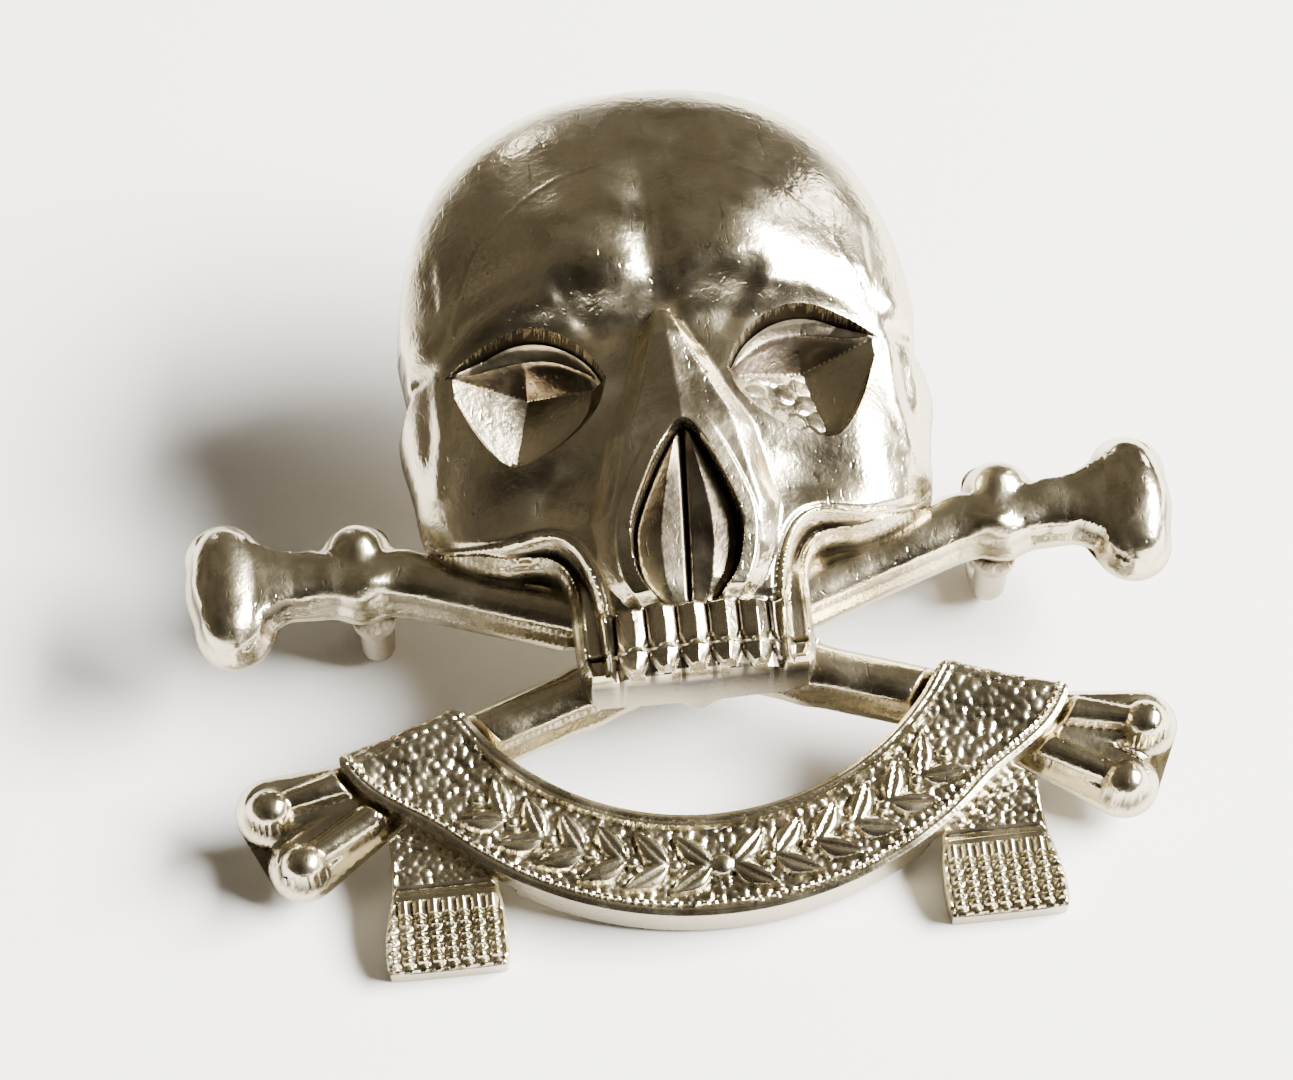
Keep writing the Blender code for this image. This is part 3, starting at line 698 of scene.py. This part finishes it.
def trimmed_grid(form, box, pitch, depth_of, creases=(), detail_of=None):
    """A grid over the box, cut back to the outline, halved where there is detail, with its
    border fitted to the outline and its inner points to the creases; returns the border's
    edges."""
    left, right, bottom, top = box
    verts = bmesh.ops.create_grid(form, x_segments=round((right - left) / pitch),
                                  y_segments=round((top - bottom) / pitch), size=0.5)["verts"]
    bmesh.ops.scale(form, vec=(right - left, top - bottom, 1.0), verts=verts)
    bmesh.ops.translate(form, vec=((left + right) / 2.0, (bottom + top) / 2.0, 0.0), verts=verts)
    place = np.array([vert.co for vert in verts])
    outside = depth_of(place[:, 0], place[:, 1]) < -0.4 * pitch
    cut = {face for vert, is_out in zip(verts, outside) if is_out for face in vert.link_faces}
    bmesh.ops.delete(form, geom=list(cut), context="FACES")
    verts = [vert for vert in verts if vert.is_valid]
    if detail_of:
        busy = detail_of(np.array([vert.co.x for vert in verts]),
                         np.array([vert.co.y for vert in verts]))
        chosen = {vert for vert, is_busy in zip(verts, busy) if is_busy}
        halved = {edge for vert in chosen for edge in vert.link_edges
                  if edge.other_vert(vert) in chosen}
        bmesh.ops.subdivide_edges(form, edges=list(halved), cuts=1, use_grid_fill=True)
        verts = form.verts[:]
        pitch = pitch / 2.0

    border = [vert for vert in verts if vert.is_boundary]
    x, y = slide_to_edge(np.array([vert.co.x for vert in border]),
                         np.array([vert.co.y for vert in border]), depth_of)
    for vert, new_x, new_y in zip(border, x, y):
        vert.co.x, vert.co.y = new_x, new_y

    inner = [vert for vert in verts if not vert.is_boundary]
    x = np.array([vert.co.x for vert in inner])
    y = np.array([vert.co.y for vert in inner])
    owner = np.full(len(inner), -1)
    for number, crease in enumerate(creases):
        if callable(crease):
            near = np.abs(crease(x, y)) < 0.5 * pitch
            new_x, new_y = x.copy(), y.copy()
            new_x[near], new_y[near] = slide_to_edge(x[near], y[near], crease)
            moved = near & (np.hypot(new_x - x, new_y - y) < 0.7 * pitch) & (owner < 0)
        else:
            new_x, new_y, away = slide_to_line(x, y, crease)
            moved = (away < 0.5 * pitch) & (owner < 0)
        x = np.where(moved, new_x, x)
        y = np.where(moved, new_y, y)
        owner[moved] = number
    on_line = {}
    for vert, new_x, new_y, number in zip(inner, x, y, owner):
        if number >= 0:
            vert.co.x, vert.co.y = new_x, new_y
            on_line[vert] = number
    split = set()
    for vert, number in on_line.items():
        for face in vert.link_faces:
            if len(face.verts) == 4 and face not in split:
                corners = face.verts[:]
                marks = [on_line.get(corner, -1) for corner in corners]
                for turn in (0, 1):
                    a, b, c, d = (marks[turn], marks[turn + 1], marks[(turn + 2) % 4],
                                  marks[(turn + 3) % 4])
                    if a == c >= 0 and b != a and d != a:
                        split.add(face)
                        bmesh.utils.face_split(face, corners[turn], corners[(turn + 2) % 4])
                        break
                else:
                    continue
    edges = {edge for vert in border for edge in vert.link_edges}
    return [edge for edge in edges if edge.is_boundary]


def struck(name, node, box, pitch, depth_of, front_of, back_of, finish, creases=(),
           detail_of=None, shade_of=None):
    """A closed piece between a struck front and a plainer back, standing for one CAD node."""
    form = bmesh.new()
    border = trimmed_grid(form, box, pitch, depth_of, creases, detail_of)
    skirt = bmesh.ops.extrude_edge_only(form, edges=border)["geom"]
    dropped = {item for item in skirt if isinstance(item, bmesh.types.BMVert)}
    raised = [vert for vert in form.verts if vert not in dropped]
    bmesh.ops.translate(form, vec=(0.0, 0.0, 1.0), verts=raised)
    hem = [item for item in skirt if isinstance(item, bmesh.types.BMEdge) and item.is_boundary]
    rear = trimmed_grid(form, box, BACK_PITCH, depth_of)
    bmesh.ops.bridge_loops(form, edges=hem + rear)
    bmesh.ops.recalc_face_normals(form, faces=form.faces[:])
    mesh = bpy.data.meshes.new(name)
    form.to_mesh(mesh)
    form.free()

    place = np.empty(len(mesh.vertices) * 3, np.float32)
    mesh.vertices.foreach_get("co", place)
    place = place.reshape(-1, 3).astype(float)
    is_front = place[:, 2] > 0.5
    x, y = place[is_front, 0], place[is_front, 1]
    height = front_of(x, y)
    place[is_front, 2] = height
    place[~is_front, 2] = back_of(place[~is_front, 0], place[~is_front, 1])
    # Painted shade, kept as a point attribute: walls and backs, hollows lower than their surroundings,
    # the front's border and any given marks are darkened in the metal's colour.
    painted_shade = np.full(len(place), SKIRT_SHADE)
    painted_shade[is_front] = 0.0
    for reach, full, most in RECESSES:
        around = sum(front_of(x + reach * math.cos(turn), y + reach * math.sin(turn))
                     for turn in np.arange(6) * math.pi / 3.0) / 6.0
        deep = most * np.clip((around - height) / full, 0.0, 1.0)
        painted_shade[is_front] = np.maximum(painted_shade[is_front], deep)
    painted_shade[is_front] = np.maximum(painted_shade[is_front], BORDER_SHADE * (depth_of(x, y) < 0.04))
    if shade_of:
        painted_shade[is_front] = np.maximum(painted_shade[is_front], shade_of(x, y))
    mesh.vertices.foreach_set("co", place.astype(np.float32).ravel())
    hollow = mesh.attributes.new("painted_shade", "FLOAT", "POINT")
    hollow.data.foreach_set("value", painted_shade.astype(np.float32))
    mesh.transform(PLANE)
    mesh.shade_smooth()
    mesh.set_sharp_from_angle(angle=math.radians(38.0))
    return placed(name, mesh, [node], finish)


def offset(depth_of, inward):
    """The line that runs a fixed way inside an outline."""
    return lambda x, y: depth_of(x, y) - inward


def both_sides(points):
    return [points, [(-x, y) for x, y in points]]


def drawn_out(form, edges, rise):
    """Draw a ring of edges out along z and return the new end's edges."""
    new = bmesh.ops.extrude_edge_only(form, edges=edges)["geom"]
    ring = [item for item in new if isinstance(item, bmesh.types.BMVert)]
    bmesh.ops.translate(form, vec=(0.0, 0.0, rise), verts=ring)
    return [item for item in new if isinstance(item, bmesh.types.BMEdge) and item.is_boundary]


def wire_loop(name, node, x, finish):
    """A round wire bent into a loop behind the badge, with both ends down on its pad."""
    form = bmesh.new()
    ring = bmesh.ops.create_circle(form, segments=32, radius=LUG_WIRE)["verts"]
    bmesh.ops.translate(form, vec=(x, LUG_Y - LUG_BEND, LUG_FOOT), verts=ring)
    turn_z = -(LUG_DEPTH - LUG_BEND - LUG_WIRE)
    end = drawn_out(form, form.edges[:], turn_z - LUG_FOOT)
    bend = bmesh.ops.spin(form, geom=end, cent=(x, LUG_Y, turn_z), axis=(1.0, 0.0, 0.0),
                          angle=math.pi, steps=28)["geom_last"]
    end = [item for item in bend if isinstance(item, bmesh.types.BMEdge)]
    drawn_out(form, end, LUG_FOOT - turn_z)
    bmesh.ops.holes_fill(form, edges=[edge for edge in form.edges if edge.is_boundary])
    bmesh.ops.recalc_face_normals(form, faces=form.faces[:])
    mesh = bpy.data.meshes.new(name)
    form.to_mesh(mesh)
    form.free()
    mesh.transform(PLANE)
    mesh.shade_smooth()
    mesh.set_sharp_from_angle(angle=math.radians(50.0))
    return placed(name, mesh, [node], finish)


def placed(name, mesh, nodes, finish):
    mesh.materials.clear()
    mesh.materials.append(finish)
    piece = bpy.data.objects.new(name, mesh)
    bpy.context.collection.objects.link(piece)
    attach(piece, "root")
    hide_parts(*nodes)
    return piece


# ---- materials ------------------------------------------------------------------------------

def noise(tree, where, scale, detail, distortion=0.0):
    made = tree.nodes.new("ShaderNodeTexNoise")
    made.inputs["Scale"].default_value = scale
    made.inputs["Detail"].default_value = detail
    made.inputs["Distortion"].default_value = distortion
    tree.links.new(where, made.inputs["Vector"])
    return made.outputs["Fac"]


def spread(tree, value, low, high, to_low, to_high):
    """The value's run from low to high, laid over another run."""
    made = tree.nodes.new("ShaderNodeMapRange")
    ends = {"From Min": low, "From Max": high, "To Min": to_low, "To Max": to_high}
    for title, end in ends.items():
        made.inputs[title].default_value = end
    tree.links.new(value, made.inputs["Value"])
    return made.outputs["Result"]


def join(tree, kind, first, second):
    """Two values, or a value and a number, added, multiplied and so on."""
    made = tree.nodes.new("ShaderNodeMath")
    made.operation = kind
    for number, value in enumerate((first, second)):
        if isinstance(value, float):
            made.inputs[number].default_value = value
        else:
            tree.links.new(value, made.inputs[number])
    return made.outputs["Value"]


def wear_group():
    """Shared by every metal: painted shade in hollows, rubbed patches, specks, scratches and grain."""
    group = bpy.data.node_groups.new("worn_metal", "ShaderNodeTree")
    face = group.interface
    for title in ("Bright", "Dark"):
        face.new_socket(title, in_out="INPUT", socket_type="NodeSocketColor")
    for title in ("Rough", "Coarse"):
        face.new_socket(title, in_out="INPUT", socket_type="NodeSocketFloat")
    face.new_socket("Color", in_out="OUTPUT", socket_type="NodeSocketColor")
    for title in ("Roughness", "Height"):
        face.new_socket(title, in_out="OUTPUT", socket_type="NodeSocketFloat")
    nodes, link = group.nodes, group.links.new
    given = nodes.new("NodeGroupInput").outputs
    result = nodes.new("NodeGroupOutput").inputs
    where = nodes.new("ShaderNodeTexCoord").outputs["Object"]
    painted_shade = nodes.new("ShaderNodeAttribute")
    painted_shade.attribute_name = "painted_shade"

    cloud = noise(group, where, 420.0, 4.0, 0.4)
    fine = noise(group, where, 5200.0, 3.0)
    grit = noise(group, where, 2100.0, 2.0)
    cells = nodes.new("ShaderNodeTexVoronoi")
    cells.inputs["Scale"].default_value = 1500.0
    link(where, cells.inputs["Vector"])
    speck = join(group, "MULTIPLY", spread(group, cells.outputs["Distance"], 0.16, 0.1, 0.0, 0.55),
                 spread(group, grit, 0.52, 0.6, 0.0, 1.0))
    stretched = nodes.new("ShaderNodeMapping")
    stretched.inputs["Scale"].default_value = (1.0, 0.045, 1.0)
    stretched.inputs["Rotation"].default_value = (0.0, 0.0, 0.6)
    link(where, stretched.inputs["Vector"])
    lines = noise(group, stretched.outputs["Vector"], 3600.0, 1.0)
    scratch = spread(group, lines, 0.66, 0.72, 0.0, 1.0)

    # Painted shade: the painted_shade attribute, broken up a little by the cloud, darkens the colour
    # toward Dark.
    hollows = join(group, "MULTIPLY", painted_shade.outputs["Fac"], spread(group, cloud, 0.3, 0.7, 1.2, 0.95))
    # Dark specks, the painted shade and cloudy patches together set how far the colour goes toward Dark.
    dirt_and_shade = join(group, "MAXIMUM", join(group, "MULTIPLY", speck, given["Coarse"]), hollows)
    dirt_and_shade = join(group, "MAXIMUM", dirt_and_shade, spread(group, cloud, 0.52, 0.75, 0.0, 0.22))
    tint = nodes.new("ShaderNodeMix")
    tint.data_type = "RGBA"
    link(dirt_and_shade, tint.inputs["Factor"])
    link(given["Bright"], tint.inputs["A"])
    link(given["Dark"], tint.inputs["B"])
    link(tint.outputs["Result"], result["Color"])

    rough = join(group, "ADD", given["Rough"], spread(group, cloud, 0.3, 0.7, -0.05, 0.09))
    rough = join(group, "ADD", rough, spread(group, dirt_and_shade, 0.0, 1.0, 0.0, 0.16))
    rough = join(group, "SUBTRACT", rough, spread(group, scratch, 0.0, 1.0, 0.0, 0.05))
    link(rough, result["Roughness"])
    coarse = join(group, "MULTIPLY", spread(group, grit, 0.3, 0.7, 0.0, 1.0), given["Coarse"])
    bumps = join(group, "ADD", join(group, "MULTIPLY", fine, 0.5), coarse)
    bumps = join(group, "SUBTRACT", bumps, join(group, "MULTIPLY", scratch, 0.35))
    link(bumps, result["Height"])
    return group


WEAR = wear_group()


def metal(name, bright, dark, rough, coarse, relief):
    """Plated or bare metal with the shared wear and painted hollow shade laid over it."""
    made = bpy.data.materials.new(name)
    made.use_nodes = True
    nodes, links = made.node_tree.nodes, made.node_tree.links
    shader = nodes["Principled BSDF"]
    shader.inputs["Metallic"].default_value = 1.0
    worn = nodes.new("ShaderNodeGroup")
    worn.node_tree = WEAR
    worn.inputs["Bright"].default_value = (*bright, 1.0)
    worn.inputs["Dark"].default_value = (*dark, 1.0)
    worn.inputs["Rough"].default_value = rough
    worn.inputs["Coarse"].default_value = coarse
    links.new(worn.outputs["Color"], shader.inputs["Base Color"])
    links.new(worn.outputs["Roughness"], shader.inputs["Roughness"])
    skin = nodes.new("ShaderNodeBump")
    skin.inputs["Strength"].default_value = 0.6
    skin.inputs["Distance"].default_value = relief * MM
    links.new(worn.outputs["Height"], skin.inputs["Height"])
    links.new(skin.outputs["Normal"], shader.inputs["Normal"])
    return made


# Dark is the colour of specks and patches and also of the painted shade in hollows.
plate = metal("plated_white_metal", (0.74, 0.66, 0.465), (0.06, 0.047, 0.034), 0.17, 0.6, 0.03)
struck_plate = metal("plated_rough_ground", (0.76, 0.68, 0.48), (0.06, 0.047, 0.034), 0.19, 0.7, 0.02)
wire = metal("dull_lug_wire", (0.45, 0.39, 0.29), (0.12, 0.09, 0.06), 0.34, 0.6, 0.02)
braze = metal("rough_braze", (0.42, 0.35, 0.25), (0.10, 0.08, 0.05), 0.45, 1.0, 0.06)

# ---- pieces ---------------------------------------------------------------------------------

FINE = 0.13
NOSE_BORDER = [(x + float(nose_lean(y)), y) for x, y in NOSE_OUTLINE + NOSE_OUTLINE[:1]]
NOSE_RIBS = [[(float(nose_lean(y) + turn * RIB_SHARE * np.interp(y, OPENING_LEVELS, OPENING_HALF)), y)
              for y in np.linspace(15.9, 24.8, 30)] for turn in (-1.0, 0.0, 1.0)]
NOSE_SIDES = [[(float(nose_lean(y) + turn * np.interp(y, NOSE_LEVELS, widths)), y)
               for y in np.linspace(17.5, 30.8, 30)]
              for turn in (-1.0, 1.0) for widths in (NOSE_FLAT, NOSE_FOOT)]
BROW_LINES = [[(x, y - drop) for x, y in BROW_ARC] for drop in (0.0,) + LIP]
SKULL_CREASES = (sum((both_sides(line) for line in BROW_LINES), []) + both_sides(LID_EDGE)
                 + both_sides(PIT_LINE)
                 + both_sides(UNDER_EYE) + [NOSE_BORDER]
                 + both_sides([EYE_DEEPEST[:2], EYE_BOTTOM[:2]])
                 + both_sides(FRONT_BORDER) + NOSE_RIBS + NOSE_SIDES
                 + [[(-5.8, PARTING_Y), (5.8, PARTING_Y)]])


def skull_detail(x, y):
    """The eyes, the nose's opening, the jaw and the border under the cheeks."""
    side = np.abs(x)
    busy = outline_depth(side, y, EYE_OUTLINE) > -0.5
    busy |= outline_depth(x - nose_lean(y), y, NOSE_OUTLINE) > -1.0
    busy |= (y < 23.5) & (outline_depth(x, y, FRONT_OUTLINE) < 0.8)
    return busy | (y < 17.0)


struck("skull", "skull_shell", (-14.2, 14.2, 12.0, 47.3), FINE, skull_depth, skull_front,
       skull_back, plate, SKULL_CREASES, skull_detail, skull_shade)
struck("bone_over", "crossbone_over", (-25.6, 24.2, 3.8, 26.0), FINE * 0.75, bone_depth, bone_front,
       crossed_back, plate, [offset(bone_depth, SKIRT_WIDTH)])
struck("bone_under", "crossbone_under", (-24.2, 25.6, 3.8, 26.0), FINE * 0.75, mirrored(bone_depth),
       mirrored(bone_front), flat_back, plate, [offset(mirrored(bone_depth), SKIRT_WIDTH)])
struck("scroll", "scroll_band", (-19.4, 19.4, 0.4, 14.4), FINE * 0.7, scroll_depth,
       scroll_front, scroll_back, struck_plate, [offset(scroll_depth, 0.5), offset(scroll_depth, 0.62)])
struck("tail_right", "scroll_tail_right", (10.0, 16.8, -0.4, 9.6), FINE * 0.6, tail_depth,
       tail_front, flat_back, struck_plate)
struck("tail_left", "scroll_tail_left", (-16.8, -10.0, -0.4, 9.6), FINE * 0.6,
       mirrored(tail_depth), mirrored(tail_front), flat_back, struck_plate)

for side, x in (("left", -LUG_X), ("right", LUG_X)):
    wire_loop("wire_" + side, "lug_" + side, x, wire)
    pad = frame["nodes"]["lug_pad_" + side].data
    pad.materials.clear()
    pad.materials.append(braze)

# ---- floor, lights and camera ---------------------------------------------------------------

def floor_finish():
    made = bpy.data.materials.new("pale_table")
    made.use_nodes = True
    tree = made.node_tree
    shader = tree.nodes["Principled BSDF"]
    shader.inputs["Roughness"].default_value = 0.75
    where = tree.nodes.new("ShaderNodeTexCoord").outputs["Object"]
    shade = tree.nodes.new("ShaderNodeValToRGB")
    shade.color_ramp.elements[0].color = (0.88, 0.865, 0.845, 1.0)
    shade.color_ramp.elements[1].color = (0.93, 0.92, 0.90, 1.0)
    tree.links.new(noise(tree, where, 9.0, 3.0), shade.inputs["Fac"])
    tree.links.new(shade.outputs["Color"], shader.inputs["Base Color"])
    return made


def lay_floor():
    form = bmesh.new()
    bmesh.ops.create_grid(form, x_segments=1, y_segments=1, size=1.5)
    mesh = bpy.data.meshes.new("table_top")
    form.to_mesh(mesh)
    form.free()
    mesh.materials.append(floor_finish())
    top = bpy.data.objects.new("table_top", mesh)
    bpy.context.collection.objects.link(top)


def panel(name, place, aim, size, power, colour):
    lamp = bpy.data.lights.new(name, "AREA")
    lamp.shape = "RECTANGLE"
    lamp.size, lamp.size_y = size
    lamp.energy = power
    lamp.color = colour
    holder = bpy.data.objects.new(name, lamp)
    holder.location = place
    holder.rotation_euler = (Vector(aim) - Vector(place)).to_track_quat("-Z", "Y").to_euler()
    bpy.context.collection.objects.link(holder)


def light_room():
    """A dim brown room, darker on the near side, that the metal mirrors in patches."""
    world = bpy.data.worlds.new("dim_room")
    world.use_nodes = True
    tree = world.node_tree
    toward = tree.nodes.new("ShaderNodeTexCoord").outputs["Generated"]
    split = tree.nodes.new("ShaderNodeSeparateXYZ")
    tree.links.new(toward, split.inputs["Vector"])
    nearer = spread(tree, split.outputs["Y"], -0.75, 0.15, 0.16, 0.92)
    uneven = spread(tree, noise(tree, toward, 2.6, 3.0), 0.35, 0.65, 0.55, 1.35)
    room = tree.nodes["Background"]
    tree.links.new(join(tree, "MULTIPLY", nearer, uneven), room.inputs["Strength"])
    room.inputs["Color"].default_value = (0.168, 0.142, 0.108, 1.0)
    bpy.context.scene.world = world


lay_floor()
light_room()
panel("window", (0.67, -0.08, 0.46), (0.0, 0.0, 0.0), (0.70, 0.30), 78.0, (1.0, 0.975, 0.93))
panel("far_lamp", (0.54, 0.50, 0.27), (0.0, 0.0, 0.0), (0.12, 0.08), 0.6, (1.0, 0.975, 0.93))
panel("far_wall", (-0.25, 0.9, 0.25), (0.0, 0.0, 0.0), (0.10, 0.05), 0.35, (1.0, 0.95, 0.88))

VIEW_TILT, VIEW_YAW, VIEW_ROLL = (math.radians(a) for a in (-25.995, 2.521, 5.649))
VIEW_SHIFT = Vector((4.018, -19.477, -179.601))
LENS = 104.95


def set_camera():
    """The camera looks at the badge's plane from 180 mm, tipped towards the tails."""
    turn = (Matrix.Rotation(VIEW_ROLL, 3, "Z") @ Matrix.Rotation(VIEW_YAW, 3, "Y")
            @ Matrix.Rotation(VIEW_TILT, 3, "X"))
    back = turn.transposed()
    spot = PLANE @ (-(back @ VIEW_SHIFT))
    camera = bpy.data.cameras.new("camera")
    camera.lens = LENS
    camera.sensor_width = 36.0
    camera.clip_start = 0.01
    holder = bpy.data.objects.new("camera", camera)
    facing = (Matrix.Rotation(LEAN, 3, "X") @ back).to_4x4()
    holder.matrix_world = Matrix.Translation(spot) @ facing
    bpy.context.collection.objects.link(holder)
    bpy.context.scene.camera = holder


set_camera()
